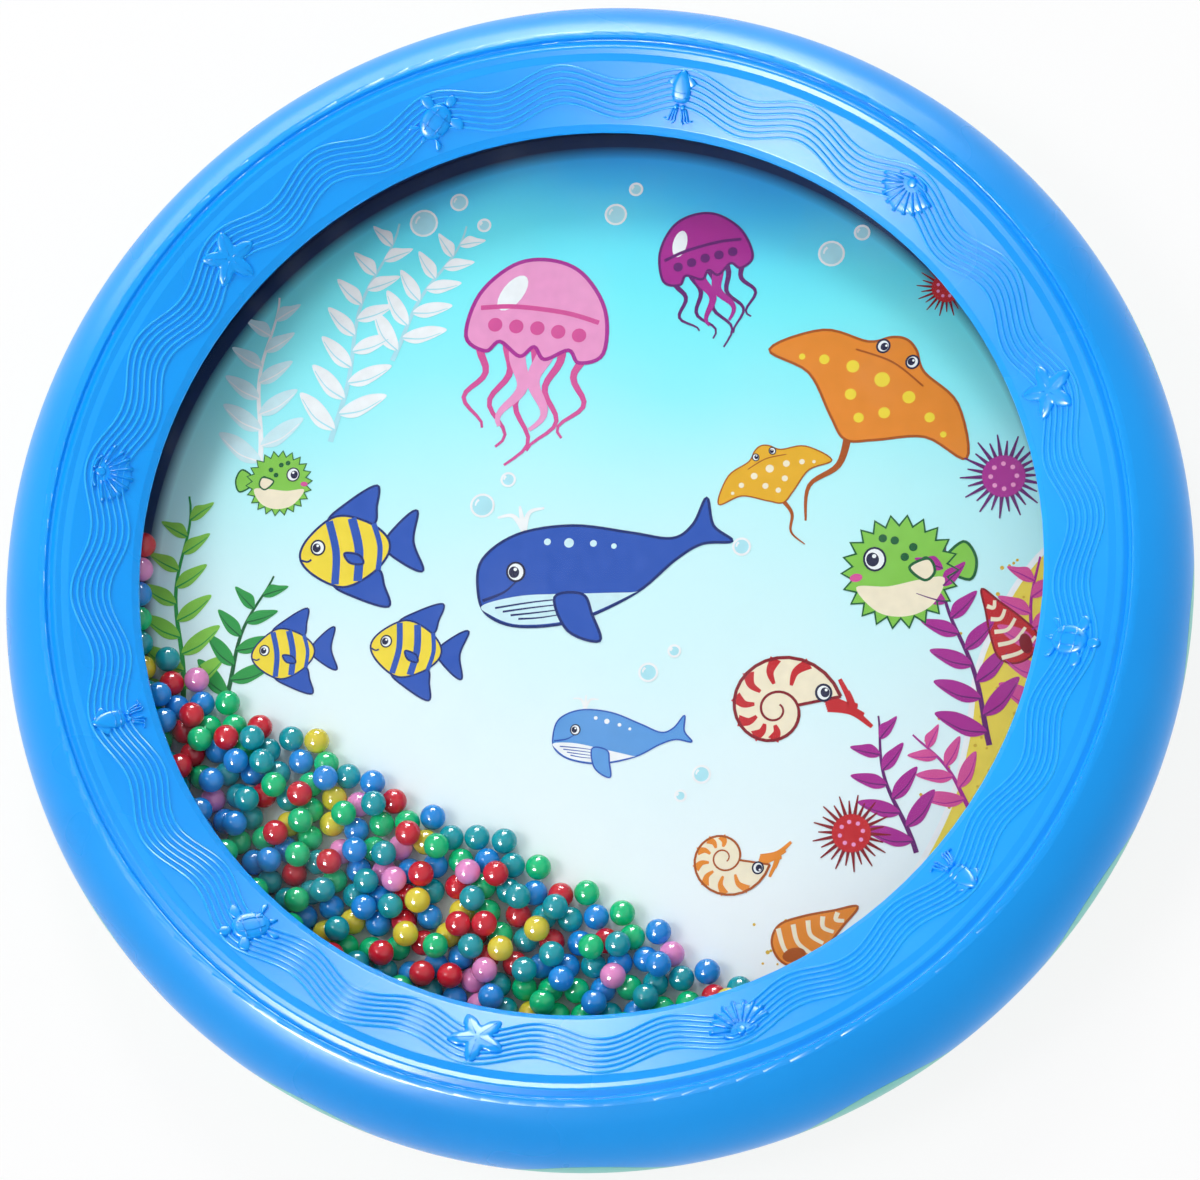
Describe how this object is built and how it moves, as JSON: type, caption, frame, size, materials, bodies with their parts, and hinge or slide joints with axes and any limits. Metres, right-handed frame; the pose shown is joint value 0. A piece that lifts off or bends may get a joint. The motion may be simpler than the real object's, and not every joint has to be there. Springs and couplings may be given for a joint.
{
  "type": "ocean drum",
  "caption": "Round two-part ocean drum with a clear front head, a sea picture on the rear head and loose beads that roll between them with the sound of waves.",
  "frame": {"origin": "centre of the ring that the drum rests on, at the bottom of its box", "axes": "+Z along the drum's axis out through the clear front head, +X and +Y in the plane of the heads, with the bead heap toward -X and -Y"},
  "size_m": [0.226, 0.226, 0.0326],
  "materials": {
    "blue_rim": "glossy moulded",
    "mint_rim": "glossy moulded",
    "shell_plastic": "moulded",
    "clear_film": "clear",
    "white_film": "satin",
    "hoop_plastic": "matte",
    "printed_sheet": "printed",
    "screw_steel": "plated",
    "red_bead": "glossy",
    "teal_bead": "glossy",
    "blue_bead": "glossy",
    "green_bead": "glossy",
    "pink_bead": "glossy",
    "yellow_bead": "glossy"
  },
  "bodies": {
    "drum": {"front_rim": "blue_rim", "rear_rim": "mint_rim", "drum_shell": "shell_plastic", "front_head": "clear_film", "front_hoop": "hoop_plastic", "rear_head": "white_film", "rear_hoop": "hoop_plastic", "picture_sheet": "printed_sheet", "screws": "screw_steel"},
    "heap": {"red_beads_heap": "red_bead", "teal_beads_heap": "teal_bead", "blue_beads_heap": "blue_bead", "green_beads_heap": "green_bead", "pink_beads_heap": "pink_bead", "yellow_beads_heap": "yellow_bead"},
    "trailing": {"red_beads_trailing": "red_bead", "teal_beads_trailing": "teal_bead", "blue_beads_trailing": "blue_bead", "green_beads_trailing": "green_bead", "pink_beads_trailing": "pink_bead", "yellow_beads_trailing": "yellow_bead"},
    "middle": {"red_beads_middle": "red_bead", "teal_beads_middle": "teal_bead", "blue_beads_middle": "blue_bead", "green_beads_middle": "green_bead", "pink_beads_middle": "pink_bead", "yellow_beads_middle": "yellow_bead"},
    "leading": {"red_beads_leading": "red_bead", "teal_beads_leading": "teal_bead", "blue_beads_leading": "blue_bead", "green_beads_leading": "green_bead", "pink_beads_leading": "pink_bead", "yellow_beads_leading": "yellow_bead"}
  },
  "joints": [
    {"name": "bead_swirl", "type": "hinge", "parent": "drum", "child": "heap", "pos_m": [0, 0, 0.0163], "axis": [0, 0, 1], "continuous": true},
    {"name": "leading_run", "type": "slide", "parent": "heap", "child": "leading", "axis": [0.4924, 0.8704, 0], "range_m": [0, 0.068]},
    {"name": "middle_run", "type": "slide", "parent": "heap", "child": "middle", "axis": [0.4924, 0.8704, 0], "range_m": [0, 0.034]},
    {"name": "trailing_run", "type": "slide", "parent": "heap", "child": "trailing", "axis": [0.4924, 0.8704, 0], "range_m": [0, 0.017]}
  ],
  "couplings": [
    {"joint": "middle_run", "follows": "leading_run", "ratio": 0.5},
    {"joint": "trailing_run", "follows": "leading_run", "ratio": 0.25}
  ]
}
